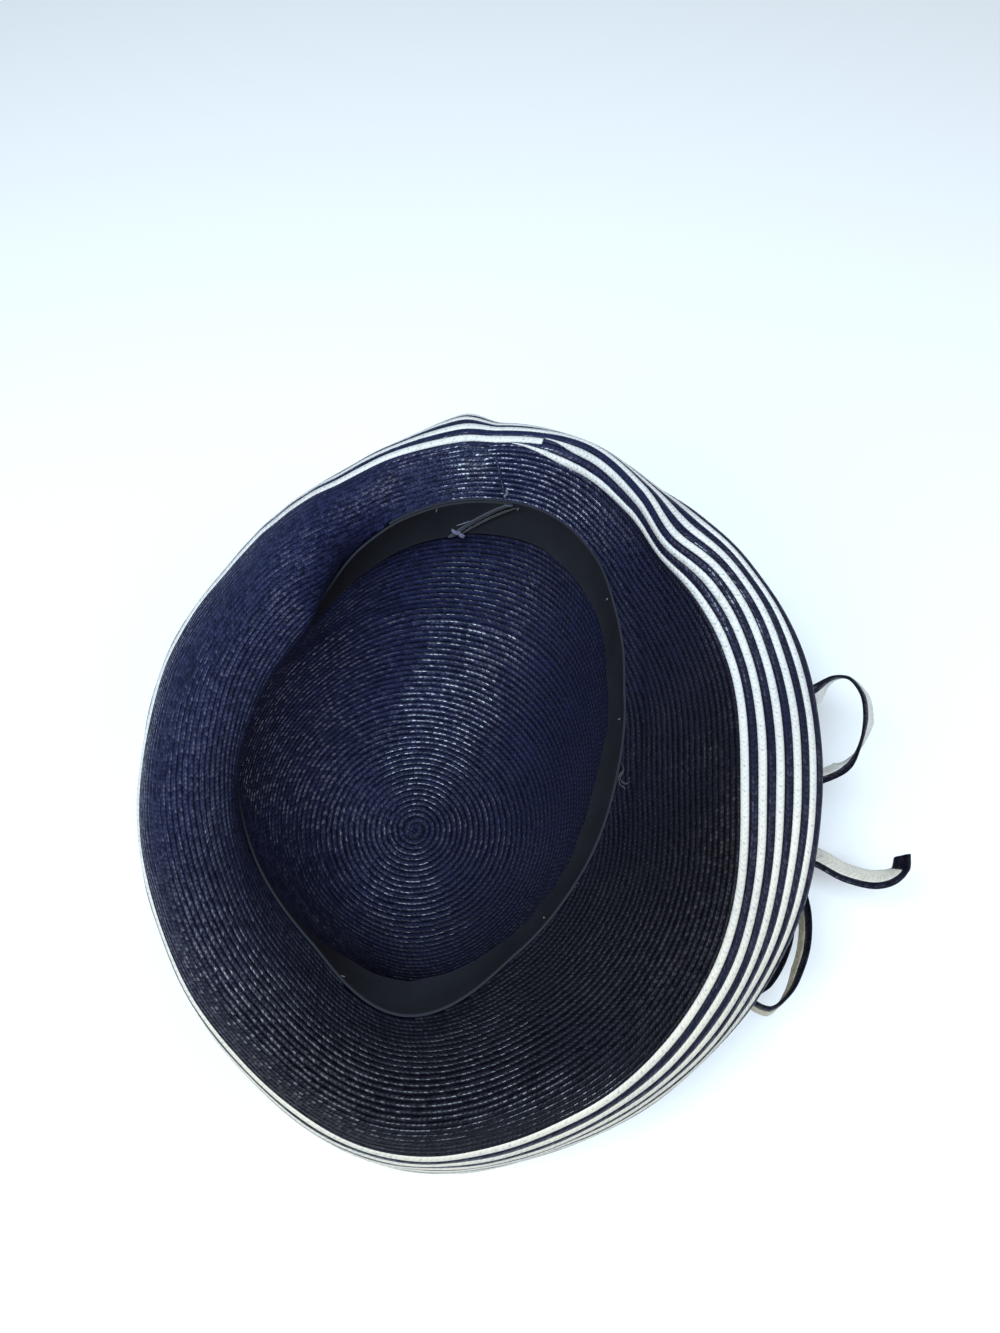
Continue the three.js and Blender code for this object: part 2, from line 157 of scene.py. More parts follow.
def around(column, azimuth):
    """A column of the section table at any azimuths, on a smooth closed curve through its rows."""
    at = np.concatenate([SECTIONS["azimuth"] + turn for turn in (-360, 0, 360)])
    value = np.tile(SECTIONS[column], 3)
    first = SECTIONS["azimuth"][0]
    angle = (np.asarray(azimuth, float) - first) % 360 + first
    b = np.searchsorted(at, angle, side="right") - 1
    span = at[b + 1] - at[b]
    t = (angle - at[b]) / span
    slope_b = (value[b + 1] - value[b - 1]) / (at[b + 1] - at[b - 1]) * span
    slope_c = (value[b + 2] - value[b]) / (at[b + 2] - at[b]) * span
    return bend(t, value[b], slope_b, value[b + 1], slope_c)


def ripple(azimuth, distance, strength):
    """Slight unevenness of the straw: a few long waves that never repeat in step."""
    waves = ((3, 0.05, 0.4), (7, -0.09, 1.9), (11, 0.16, 4.2), (17, -0.21, 2.6), (26, 0.30, 5.5))
    height = 0
    for count, slant, start in waves:
        wave = np.sin(np.radians(count * azimuth) + slant * distance + start)
        height = height + wave / count**0.5
    return strength * height / 2


# ---------------------------------------------------------------- the rim's spiral
def turn_of(azimuth):
    return ((SEAM - azimuth) % 360) / 360


def azimuth_at(turn):
    return SEAM - 360 * turn


def start_growth(turn, taper=START_TAPER):
    return smooth(turn, 0, taper)


def end_growth(turn):
    return 1 - smooth(turn, TURNS - END_TAPER, TURNS)


def white_row_start(turn, taper=START_TAPER):
    """Distance across the brim, from the head opening, to the inner edge of the white row."""
    return around("navy", azimuth_at(turn)) + ROW_PERIOD * (turn + 1 - start_growth(turn, taper))


def splice_cut(turn):
    """Share of the white row that is missing just past its splice, from its inner edge."""
    after = turn - SPLICE
    return np.where(after > 0, 1 - smooth(after, SPLICE_GAP, SPLICE_TAPER), 0) * 0.85


# ---------------------------------------------------------------- surfaces
class Surface:
    """A face of the hat as a fine net of points, by azimuth and by a second coordinate."""

    STEPS = 720

    def __init__(self, points, low, high):
        self.points = points
        self.low = low
        self.high = high
        around_it = np.roll(points, -1, axis=0) - np.roll(points, 1, axis=0)
        across_it = np.gradient(points, axis=1)
        self.normals = unit(np.cross(across_it, around_it))
        flat = np.linalg.norm(self.normals, axis=-1) < 0.5
        self.normals[flat] = (0, 0, 1)

    def sample(self, net, azimuth, across):
        rows = net.shape[1]
        i = (np.asarray(azimuth, float) % 360) / 360 * self.STEPS
        share = (np.asarray(across, float) - self.low) / (self.high - self.low)
        j = np.clip(share, 0, 1) * (rows - 1)
        i, j = np.broadcast_arrays(i, j)
        i0 = np.floor(i).astype(int)
        j0 = np.minimum(np.floor(j).astype(int), rows - 2)
        u = (i - i0)[..., None]
        v = (j - j0)[..., None]
        i0 = i0 % self.STEPS
        i1 = (i0 + 1) % self.STEPS
        return (
            net[i0, j0] * (1 - u) * (1 - v)
            + net[i1, j0] * u * (1 - v)
            + net[i0, j0 + 1] * (1 - u) * v
            + net[i1, j0 + 1] * u * v
        )

    def at(self, azimuth, across, lift=0.0):
        """A point on the face, lifted off it towards the side that shows."""
        base = self.sample(self.points, azimuth, across)
        normal = self.sample(self.normals, azimuth, across)
        return base + normal * np.asarray(lift, float)[..., None]


AZIMUTHS = np.arange(Surface.STEPS) * 360 / Surface.STEPS


def brim_surface():
    """The brim's upper face.  The slope of each section runs smoothly from station to station."""
    step = 0.5
    before = 4.0  # a little of the brim carries on below the head opening, behind the sweatband
    reach = around("navy", AZIMUTHS) + RIM_WIDTH + 2 * ROW_PERIOD
    count = int((reach.max() + before) / step)
    middle = (np.arange(count) + 0.5) * step - before
    turn = turn_of(AZIMUTHS)
    beside_seam = 1 - smooth(turn, 0.98, 1.0)  # the spiral's step is spread over a few degrees
    navy = around("navy", AZIMUTHS) + ROW_PERIOD * turn * beside_seam
    stations = [
        (0 * navy, "root"),
        (0.18 * navy, "low"),
        (0.36 * navy, "middle"),
        (0.62 * navy, "high"),
        (navy - 2, "first"),
        (navy + 8, "second"),
        (navy + 18, "third"),
        (navy + RIM_WIDTH, "edge"),
    ]
    slope = np.repeat(around("root", AZIMUTHS)[:, None], count, axis=1)
    for (near, near_name), (far, far_name) in zip(stations, stations[1:]):
        a = around(near_name, AZIMUTHS)[:, None]
        b = around(far_name, AZIMUTHS)[:, None]
        share = smooth(middle[None, :], near[:, None], far[:, None])
        slope = np.where(middle[None, :] > near[:, None], a + (b - a) * share, slope)
    out = np.cumsum(step * cosine(slope), axis=1)
    up = np.cumsum(step * sine(slope), axis=1)
    start = int(before / step)
    out = out - out[:, start : start + 1] + around("radius", AZIMUTHS)[:, None]
    up = up - up[:, start : start + 1] + around("height", AZIMUTHS)[:, None]
    x = OPENING[0] + out * cosine(AZIMUTHS)[:, None]
    y = OPENING[1] + out * sine(AZIMUTHS)[:, None]
    distances = (np.arange(count) + 1) * step - before
    surface = Surface(np.stack([x, y, up], axis=-1), distances[0], distances[-1])
    # The waves grow over the brim and fade where it is sewn to the crown.
    grip = smooth(distances[None, :], 0, 20)
    lift = ripple(AZIMUTHS[:, None], distances[None, :], BRIM_RIPPLE) * grip
    # At the right the brim is pressed down into a crease just outside the head opening.
    crease_depth, crease_distance, crease_width = 0.9, 6.5, 2.2
    angle = (AZIMUTHS[:, None] + 180) % 360 - 180
    pressed = smooth(angle, -45, -15) * (1 - smooth(angle, 40, 62))
    crease = np.exp(-(((distances[None, :] - crease_distance) / crease_width) ** 2))
    lift = lift - crease_depth * pressed * crease
    return Surface(surface.points + surface.normals * lift[..., None], distances[0], distances[-1])


def crown_section(azimuth):
    """Control points of the crown's inner face, level and upright, with the way it points."""
    rim = OPENING[None, :] + around("radius", azimuth)[:, None] * np.stack(
        [cosine(azimuth), sine(azimuth)], axis=-1
    )
    reach = np.linalg.norm(rim, axis=-1)
    height = around("height", azimuth)
    wall = around("wall", azimuth)
    straight = WALL_REACH * height
    out = [
        np.full_like(reach, TIP_FLAT),
        TIP_FLAT + TIP_REACH * (reach - TIP_FLAT),
        reach - straight * cosine(wall),
        reach,
    ]
    up = [
        np.full_like(reach, STRAW),
        np.full_like(reach, STRAW),
        height - straight * sine(wall),
        height,
    ]
    return out, up, rim / reach[:, None]


def crown_track(azimuth, count=400):
    """Points of each section from the middle of the tip to the head opening, and their lengths."""
    out, up, way = crown_section(azimuth)
    t = np.linspace(0, 1, count)[None, :]
    weights = [(1 - t) ** 3, 3 * t * (1 - t) ** 2, 3 * t**2 * (1 - t), t**3]
    across = sum(w * p[:, None] for w, p in zip(weights, out))
    height = sum(w * p[:, None] for w, p in zip(weights, up))
    flat = np.linspace(0, TIP_FLAT, 40, endpoint=False)[None, :].repeat(len(azimuth), axis=0)
    across = np.concatenate([flat, across], axis=1)
    height = np.concatenate([np.full_like(flat, STRAW), height], axis=1)
    pieces = np.hypot(np.diff(across, axis=1), np.diff(height, axis=1))
    length = np.concatenate([np.zeros((len(azimuth), 1)), np.cumsum(pieces, axis=1)], axis=1)
    points = np.concatenate([across[..., None] * way[:, None, :], height[..., None]], axis=-1)
    return points, length


def crown_rows(length):
    """The row number at each length along the sections.  Rows are evenly spaced near the tip,
    and then as close as it takes for every section to reach the opening with the same count."""
    ease_start, ease_end = 45, 85
    share = np.clip((length - ease_start) / (ease_end - ease_start), 0, 1)
    eased = (ease_end - ease_start) * (share**3 - share**4 / 2) + np.maximum(length - ease_end, 0)
    missing = CROWN_ROWS - length[:, -1:] / CROWN_PITCH
    return length / CROWN_PITCH + missing * eased / eased[:, -1:]


def points_at(wanted, known, points):
    """Points of a line at the wanted places along it, from points at known places."""
    return np.stack([np.interp(wanted, known, values) for values in points.T], axis=-1)


def crown_surface():
    """The crown's inner face, with the row number as its second coordinate."""
    points, length = crown_track(AZIMUTHS)
    rows = crown_rows(length)
    wanted = np.linspace(0, CROWN_ROWS, CROWN_ROWS * 8 + 1)
    every = range(len(AZIMUTHS))
    net = np.array([points_at(wanted, rows[i], points[i]) for i in every])
    distance = np.array([np.interp(wanted, rows[i], length[i]) for i in every])
    surface = Surface(net, 0, CROWN_ROWS)
    rise = smooth(distance, 25, 60) * (1 - smooth(wanted[None, :], CROWN_ROWS - 12, CROWN_ROWS))
    lift = ripple(AZIMUTHS[:, None], distance, CROWN_RIPPLE) * rise
    # A shallow crease runs round the back of the crown, a little above the turn of its side.
    crease_depth, crease_length, crease_width = 1.6, 104, 5
    crease = np.exp(-(((distance - crease_length) / crease_width) ** 2))
    crease = crease * smooth(AZIMUTHS, 25, 60)[:, None]
    crease = crease * (1 - smooth(AZIMUTHS, 130, 165))[:, None]
    lift = lift - crease_depth * crease
    return Surface(net + surface.normals * lift[..., None], 0, CROWN_ROWS)


def crown_side_surface():
    """The top of the crown's inner face, with the distance below the opening as its second
    coordinate.  It has no ripple, as the sweatband bridges the rows."""
    points, length = crown_track(AZIMUTHS)
    drops = np.arange(0, 60.5, 0.5)
    every = range(len(AZIMUTHS))
    net = np.array([points_at(length[i, -1] - drops, length[i], points[i]) for i in every])
    surface = Surface(net, 0, drops[-1])
    surface.normals = -surface.normals
    return surface


# ---------------------------------------------------------------- meshes
def add_object(name, data):
    made = bpy.data.objects.new(name, data)
    bpy.context.scene.collection.objects.link(made)
    return made


def mesh_piece(name, points, faces, uv, material, sharp=50):
    """A mesh object from points in millimetres, faces with four corners, and a place for each
    point along and across its braid or ribbon."""
    points = np.asarray(points, np.float32).reshape(-1, 3) * MM
    faces = np.asarray(faces, np.int32).reshape(-1, 4)
    mesh = bpy.data.meshes.new(name)
    mesh.vertices.add(len(points))
    mesh.vertices.foreach_set("co", points.ravel())
    mesh.loops.add(faces.size)
    mesh.loops.foreach_set("vertex_index", faces.ravel())
    mesh.polygons.add(len(faces))
    mesh.polygons.foreach_set("loop_start", np.arange(len(faces), dtype=np.int32) * 4)
    mesh.update(calc_edges=True)
    mesh.polygons.foreach_set("use_smooth", np.ones(len(faces), bool))
    layer = mesh.uv_layers.new(name="braid")
    layer.data.foreach_set("uv", np.asarray(uv, np.float32).reshape(-1, 2)[faces.ravel()].ravel())
    mesh.validate()
    mesh.set_sharp_from_angle(angle=math.radians(sharp))
    mesh.materials.append(material)
    return add_object(name, mesh)


def strip_faces(steps, size, keep):
    """Faces between neighbouring outlines of a strip that are both kept, each with size points."""
    i = np.arange(steps - 1)[keep[:-1] & keep[1:]][:, None] * size
    j = np.arange(size)[None, :]
    k = (j + 1) % size
    return np.stack([i + j, i + k, i + size + k, i + size + j], axis=-1).reshape(-1, 4)


def strip_ends(keep, size):
    """Faces that close both ends of every run of kept outlines, each with an even size."""
    before = np.concatenate([[False], keep[:-1]])
    after = np.concatenate([keep[1:], [False]])
    j = np.arange(size // 2 - 1)
    end = np.stack([j, j + 1, size - 2 - j, size - 1 - j], axis=-1)[None]
    first = np.flatnonzero(keep & ~before)[:, None, None] * size + end
    last = np.flatnonzero(keep & ~after)[:, None, None] * size + end[:, :, ::-1]
    return np.concatenate([first, last]).reshape(-1, 4)


def closed_strip_faces(steps, size, keep=None):
    """Faces of a closed strip: its sides, and an end wherever the kept outlines begin or stop."""
    keep = np.ones(steps, bool) if keep is None else keep
    return np.concatenate([strip_faces(steps, size, keep)[:, ::-1], strip_ends(keep, size)])


def braid_places(along, across):
    """The place of each point on its flat braid, from its lengths along and across it."""
    return np.stack(np.broadcast_arrays(along, across), axis=-1)


def lie_along(points):
    """Length along a row of points."""
    steps = np.linalg.norm(np.diff(points, axis=0), axis=-1)
    return np.concatenate([[0], np.cumsum(steps)])


# The section of a sewn braid: shares of its width, and how high its upper face lies at each, as
# shares of the height of the bulge.  The crest is 0.4 above the plain face.  The lower face has
# the same kind of bulge, and its crest lies on the straw's outer face.
BRAID_SHARES = np.array([0.0, 0.12, 0.36, 0.64, 0.88, 1.0])
BRAID_RISE = np.array([-1.6, -0.4, 0.3, 0.4, -0.1, -1.3])
BACK_SHARES = np.array([0.93, 0.66, 0.34, 0.07])
BACK_RISE = np.array([0.9, 0.1, 0.0, 0.9])
BRAID_CREST = 3  # the point of the section at the crest


def braid_strip(name, surface, azimuth, near, far, bulge, material, keep=None, over=0.0):
    """A closed strip of braid laid on a surface between two lines, near and far, given at each
    azimuth along it.  over lifts the whole strip, so that it covers what lies beside it."""
    bulge = np.broadcast_to(bulge, near.shape)[:, None]
    width = (far - near)[:, None]
    across = near[:, None] + width * np.concatenate([BRAID_SHARES, BACK_SHARES])
    rise = over + bulge * BRAID_RISE
    drop = bulge * BACK_RISE - STRAW
    lift = np.concatenate([rise, drop], axis=1)
    points = surface.at(azimuth[:, None], across, lift)
    along = lie_along(points[:, BRAID_CREST])
    real_width = np.linalg.norm(points[:, len(BRAID_SHARES) - 1] - points[:, 0], axis=-1)
    shares = np.concatenate([BRAID_SHARES, BACK_SHARES]) - 0.5
    uv = braid_places(along[:, None], shares[None, :] * real_width[:, None])
    faces = closed_strip_faces(len(azimuth), across.shape[1], keep)
    return mesh_piece(name, points, faces, uv, material)


def spiral_turns(surface, place, first, last, step):
    """Turns at even lengths along a spiral.  place gives the azimuth and the second coordinate."""
    coarse = np.linspace(first, last, int((last - first) * 240) + 2)
    azimuth, across = place(coarse)
    length = lie_along(surface.at(azimuth, across, 0 * across))
    even = np.linspace(0, length[-1], int(length[-1] / step) + 2)
    return np.interp(even, length, coarse)


def wander(turn, scale):
    """A number from -1 to 1 that drifts along a braid, the same each time."""
    waves = ((5.3, 0.0), (8.9, 1.3), (14.7, 4.1), (23.9, 2.2))
    return sum(np.sin(turn * rate * scale + start) for rate, start in waves) / len(waves)


# ---------------------------------------------------------------- shader maths
class Value:
    """A socket on its way through a shader.  Arithmetic on it adds the Math nodes."""

    def __init__(self, shader, socket):
        self.shader = shader
        self.socket = socket

    def math(self, operation, *others):
        return self.shader.math(operation, self, *others)

    def __add__(self, other):
        return self.shader.math("ADD", self, other)

    def __radd__(self, other):
        return self.shader.math("ADD", other, self)

    def __sub__(self, other):
        return self.shader.math("SUBTRACT", self, other)

    def __rsub__(self, other):
        return self.shader.math("SUBTRACT", other, self)

    def __mul__(self, other):
        return self.shader.math("MULTIPLY", self, other)

    def __rmul__(self, other):
        return self.shader.math("MULTIPLY", other, self)

    def __truediv__(self, other):
        return self.shader.math("DIVIDE", self, other)

    def __pow__(self, other):
        return self.shader.math("POWER", self, other)

    def __gt__(self, other):
        return self.shader.math("GREATER_THAN", self, other)

    def __lt__(self, other):
        return self.shader.math("LESS_THAN", self, other)

    def __abs__(self):
        return self.shader.math("ABSOLUTE", self)

    def floor(self):
        return self.math("FLOOR")

    def fraction(self):
        return self.math("FRACT")

    def sine(self):
        return self.math("SINE")

    def smooth(self, low, high):
        """0 below low and 1 above high, with a smooth step between."""
        settings = {"interpolation_type": "SMOOTHSTEP"}
        inputs = {"Value": self, "From Min": low, "From Max": high}
        return self.shader.node("ShaderNodeMapRange", settings, inputs)["Result"]


class Nodes:
    """A node tree built from expressions."""

    def __init__(self, tree):
        self.tree = tree

    def connect(self, value, socket):
        if isinstance(value, Value):
            self.tree.links.new(value.socket, socket)
        elif isinstance(value, (tuple, list)) and len(value) == 3 and socket.type == "RGBA":
            socket.default_value = (*value, 1)
        else:
            socket.default_value = value

    def node(self, kind, settings, inputs):
        """Adds a node and returns its outputs by name, each as a Value."""
        made = self.tree.nodes.new(kind)
        for name, setting in settings.items():
            setattr(made, name, setting)
        for name, value in inputs.items():
            self.connect(value, made.inputs[name])
        return {output.name: Value(self, output) for output in made.outputs if output.enabled}

    def math(self, operation, *values):
        made = self.node("ShaderNodeMath", {"operation": operation}, dict(enumerate(values)))
        return made["Value"]

    def mix(self, share, low, high):
        """A colour between two others."""
        made = self.tree.nodes.new("ShaderNodeMix")
        made.data_type = "RGBA"
        colours = [socket for socket in made.inputs if socket.type == "RGBA"]
        self.connect(share, made.inputs["Factor"])
        self.connect(low, colours[0])
        self.connect(high, colours[1])
        result = [socket for socket in made.outputs if socket.type == "RGBA"][0]
        return Value(self, result)

    def noise(self, place, scale, detail=2.0):
        return self.node(
            "ShaderNodeTexNoise", {}, {"Vector": place, "Scale": scale, "Detail": detail}
        )["Fac"]

    def random(self, x, y):
        """A random number for each pair of whole numbers."""
        place = self.node("ShaderNodeCombineXYZ", {}, {"X": x, "Y": y})["Vector"]
        made = self.node("ShaderNodeTexWhiteNoise", {"noise_dimensions": "2D"}, {"Vector": place})
        return made["Value"]


class Shader(Nodes):
    """One material on the Principled shader."""

    def __init__(self, name, **constants):
        self.material = bpy.data.materials.new(name)
        self.material.use_nodes = True
        super().__init__(self.material.node_tree)
        self.tree.nodes.clear()
        self.surface = self.tree.nodes.new("ShaderNodeBsdfPrincipled")
        output = self.tree.nodes.new("ShaderNodeOutputMaterial")
        self.tree.links.new(self.surface.outputs["BSDF"], output.inputs["Surface"])
        self.set(**constants)

    def set(self, **sockets):
        """Sets or links sockets of the Principled shader: base_color for Base Color."""
        for name, value in sockets.items():
            label = name.replace("_", " ").title().replace("Ior", "IOR")
            self.connect(value, self.surface.inputs[label])

    def bump(self, height):
        """Bends the surface to a height in millimetres."""
        inputs = {"Strength": 1.0, "Distance": MM, "Height": height}
        normal = self.node("ShaderNodeBump", {}, inputs)
        self.set(normal=normal["Normal"])

    def braid(self):
        """Millimetres along and across the braid."""
        place = self.node("ShaderNodeUVMap", {"uv_map": "braid"}, {})["UV"]
        split = self.node("ShaderNodeSeparateXYZ", {}, {"Vector": place})
        return split["X"], split["Y"]

    def place(self):
        return self.node("ShaderNodeTexCoord", {}, {})["Object"]


def plait(shader, strand, slant):
    """Strands that cross a braid in chevrons.  strand is the width of one along the braid, and
    slant how far it runs along for each millimetre across.  Gives the strand's height, a share
    across it, and two random numbers for each strand."""
    along, across = shader.braid()
    side = across > 0
    place = (along + abs(across) * slant) / strand
    share = place.fraction() - 0.5
    number = place.floor()
    height = 1 - abs(share * 2) ** 2.5
    first = shader.random(number, side)
    second = shader.random(number, side + 7.5)
    return along, across, height, share, first, second


def navy_braid_material(name, row, strand=2.2, cool_light_floor=0.0, calm_middle=False):
    """Glossy film straw, plaited: each strand lies at a slightly different tilt, and only some
    of them are smooth enough to shine.  The colour is painted brighter and bluer towards the
    back and left of the hat, as painted cool light from that side, and by the given share
    everywhere; the coat's sparkle is painted weaker towards the front, as painted shade.
    calm_middle dulls the tightly wound middle of the crown."""
    shader = Shader(name, ior=1.45, specular_ior_level=0.12, coat_roughness=0.11, coat_ior=1.55)
    _, across, height, share, first, second = plait(shader, strand, 0.8)
    edge = abs(across * (2 / row)).smooth(0.5, 1.0)
    tilt = (first - 0.5) * share * 0.7 + (second - 0.5) * across * 0.4
    shader.bump(height * 0.14 + tilt - edge * 0.10)
    place = shader.node("ShaderNodeSeparateXYZ", {}, {"Vector": shader.place()})
    broad = shader.noise(shader.place(), 22.0)
    # tone is lighter on each strand's crest and darker at the row edges: painted shade between
    # strands and in the valleys between rows
    tone = first * 0.45 + height * 0.25 + broad * 0.5 - edge * 0.45
    # 1 towards the back and left of the hat: the share of painted cool light in the colour
    cool_light_side = (place["Y"] * 0.8 - place["X"] * 0.65).smooth(-0.10, 0.12)
    cool_light_share = cool_light_side * (1 - cool_light_floor) + cool_light_floor
    dark = shader.mix(cool_light_share, NAVY_DARK, COOL_LIT_DARK)
    light = shader.mix(cool_light_share, NAVY_LIGHT, COOL_LIT_LIGHT)
    shader.set(base_color=shader.mix(tone.smooth(0.0, 1.1), dark, light))
    shader.set(roughness=0.36 + second * 0.14 + edge * 0.1)
    shine = height.smooth(0.2, 0.75) * (0.08 + (first * 0.6 + second * 0.4).smooth(0.4, 0.8) * 0.92)
    shine = shine * (1 - edge * 0.7)
    if calm_middle:
        from_middle = (place["X"] ** 2 + place["Y"] ** 2) ** 0.5
        shine = shine * from_middle.smooth(0.002, 0.014)
    # The sparkle is weaker towards the front: painted shade on the coat.
    shader.set(coat_weight=shine * (0.4 + cool_light_side * 0.6))
    return shader.material


def white_braid_material(name, row, colour, shade, stitch_spacing=5.0):
    """Satin white straw, plaited flat, with the small pits of its seam at even spaces.  It is
    painted warmer towards the front, as painted warm light, and darker in its pits, at its
    row edges and between strands, as painted shade."""
    shader = Shader(name, ior=1.48)
    along, across, height, share, first, second = plait(shader, 2.0, 0.8)
    pit_along = (along / stitch_spacing).fraction() - 0.5
    pit = 1 - ((pit_along * stitch_spacing) ** 2 + (across + 0.2) ** 2).smooth(0.04, 0.30)
    edge = abs(across * (2 / row)).smooth(0.6, 1.0)
    tilt = (first - 0.5) * share * 0.22
    shader.bump(height * 0.09 + tilt - pit * 0.10 - edge * 0.05)
    broad = shader.noise(shader.place(), 35.0)
    # tone is darker in the seam's pits, at the row edges and between strands: painted shade
    tone = height * 0.22 + first * 0.2 + broad * 0.6 - pit * (0.2 + second * 0.3) - edge * 0.2
    place = shader.node("ShaderNodeSeparateXYZ", {}, {"Vector": shader.place()})
    # warmer towards the front of the hat: painted warm light
    warm_light_share = (place["X"] * 0.2 - place["Y"]).smooth(-0.03, 0.12) * 0.8
    warm_lit_colour = shader.mix(warm_light_share, colour, tuple(c * k for c, k in zip(colour, (0.98, 0.88, 0.70))))
    shader.set(base_color=shader.mix(tone.smooth(-0.1, 0.75), shade, warm_lit_colour))
    shader.set(roughness=0.42 + second * 0.15)
    return shader.material


def grosgrain_material(name, low, high):
    """Matt ribbon with close cross ribs, its colour between low and high."""
    shader = Shader(name, specular_ior_level=0.2)
    along, across = shader.braid()
    rib = (along * (2 * math.pi / 0.9)).sine()
    thread = (across * (2 * math.pi / 0.35)).sine()
    broad = shader.noise(shader.place(), 60.0, 3.0)
    selvedge = abs(across).smooth(BAND_HEIGHT / 2 - 1.2, BAND_HEIGHT / 2 - 0.6)
    shader.bump(rib * 0.06 * (1 - selvedge * 0.8) + thread * 0.012 + broad * 0.25)
    # tone is lighter on the rib crests and darker between them, painted highlight and painted
    # shade; the selvedges are lighter too
    tone = rib * 0.12 + broad * 0.8 + selvedge * 0.08
    shader.set(base_color=shader.mix(tone.smooth(0.0, 1.2), low, high))
    shader.set(roughness=0.72 + broad * 0.15)
    return shader.material


def thread_material(name, colour):
    shader = Shader(name, roughness=0.6, sheen_weight=0.4)
    fuzz = shader.noise(shader.place(), 900.0)
    shader.set(base_color=shader.mix(fuzz, tuple(0.6 * c for c in colour), colour))
    return shader.material


NAVY_DARK = (0.0022, 0.0022, 0.0040)
NAVY_LIGHT = (0.0085, 0.0085, 0.0150)
# Navy as lit by cool light, brighter and bluer: painted cool light, mixed in towards the back and
# left.
COOL_LIT_DARK = (0.0050, 0.0062, 0.0190)
COOL_LIT_LIGHT = (0.0200, 0.0250, 0.0760)
WHITE_LIGHT = (0.69, 0.68, 0.66)
WHITE_SHADE = (0.40, 0.395, 0.385)
BOW_LIGHT = (0.64, 0.63, 0.60)
BOW_SHADE = (0.36, 0.35, 0.33)
# The front loop's white, darker and warmer than the bow's: painted shade on the loop's inner face.
SHADED_LOOP_LIGHT = (0.50, 0.47, 0.40)
SHADED_LOOP_SHADE = (0.11, 0.10, 0.075)
BAND_COLOURS = ((0.011, 0.012, 0.017), (0.025, 0.027, 0.036))
# The hem's grosgrain, lighter than the band's: painted highlight on the fold.
HEM_HIGHLIGHT_COLOURS = ((0.045, 0.049, 0.062), (0.080, 0.086, 0.110))

# The share given by keyword is how much painted cool light each navy braid has everywhere.
navy_crown = navy_braid_material("navy_braid_crown", CROWN_PITCH, cool_light_floor=0.25, calm_middle=True)
navy_brim = navy_braid_material("navy_braid_brim", BRIM_PITCH, 1.7)
navy_rim = navy_braid_material("navy_braid_rim", NAVY_ROW, cool_light_floor=0.35)
seam_straw = navy_braid_material("navy_braid_seam", 1.3, 1.2, cool_light_floor=0.9)
white_rim = white_braid_material("white_braid_rim", WHITE_ROW, WHITE_LIGHT, WHITE_SHADE)
white_bow = white_braid_material("white_braid_bow", RIBBON_WIDTH, BOW_LIGHT, BOW_SHADE, 6.0)
shaded_loop_bow = white_braid_material("white_braid_bow_painted_shade", RIBBON_WIDTH, SHADED_LOOP_LIGHT, SHADED_LOOP_SHADE, 6.0)
grosgrain = grosgrain_material("grosgrain_ribbon", *BAND_COLOURS)
grosgrain_hem_highlight = grosgrain_material("grosgrain_hem_highlight", *HEM_HIGHLIGHT_COLOURS)
navy_bow = navy_braid_material("navy_braid_bow", RIBBON_EDGE, cool_light_floor=0.2)
blue_thread = thread_material("blue_thread", (0.11, 0.12, 0.22))
grey_thread = thread_material("grey_thread", (0.10, 0.11, 0.14))
dark_thread_and_painted_shadow = thread_material("dark_thread_and_painted_shadow", (0.015, 0.016, 0.022))


# ---------------------------------------------------------------- crown and brim
BRIM = brim_surface()
CROWN = crown_surface()


def dress(piece, slot, *nodes):
    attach(piece, "root")
    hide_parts(*nodes)


def make_crown():
    """Navy braid wound from the middle of the tip to the head opening."""
    first, last, step, overlap = 0.45, CROWN_ROWS - 0.55, 2.6, 0.62

    def place(turn):
        return azimuth_at(turn), turn

    turn = spiral_turns(CROWN, place, first, last, step)
    azimuth, middle = place(turn)
    bulge = 0.42 + 0.12 * wander(turn, 1.0)
    near = (middle - overlap) * smooth(turn, 1.3, 2.3)
    strip = braid_strip("crown_braid", CROWN, azimuth, near, middle + overlap, bulge, navy_crown)
    dress(strip, "navy_braid", "crown")


def make_brim():
    """Navy braid from the head opening outward.  Its rows run beside the first white row, and
    the inner ones end at the sweatband."""
    step, overlap, tuck = 2.2, 0.62 * BRIM_PITCH, 1.0
    rows = math.ceil((SECTIONS["navy"].max() + ROW_PERIOD) / BRIM_PITCH) + 1
    rows_under_the_rim = 3
    seam_taper = 0.12

    def place(turn):
        azimuth = azimuth_at(turn)
        return azimuth, white_row_start(turn_of(azimuth), seam_taper) + BRIM_PITCH * (turn - 0.5)

    turn = spiral_turns(BRIM, place, -rows, rows_under_the_rim, step)
    azimuth, middle = place(turn)
    angle = azimuth % 360
    behind_seam = smooth(angle, 79, 81) * (1 - smooth(angle, 105, 150))
    beside_seam = smooth(angle, 45, 70) * (1 - smooth(angle, 79, 81))
    loose = smooth(angle, 190, 220) * (1 - smooth(angle, 290, 320))
    bulge = 0.42 + 0.15 * wander(turn, 1.3) - 0.34 * behind_seam + 0.16 * beside_seam
    bulge = bulge + loose * (0.10 + 0.22 * wander(turn, 4.7))
    near = np.maximum(middle - overlap, -tuck)
    keep = middle > -0.5
    strip = braid_strip(
        "brim_braid", BRIM, azimuth, near, middle + overlap, bulge, navy_brim, keep, over=-0.25
    )
    dress(strip, "navy_braid", "brim")


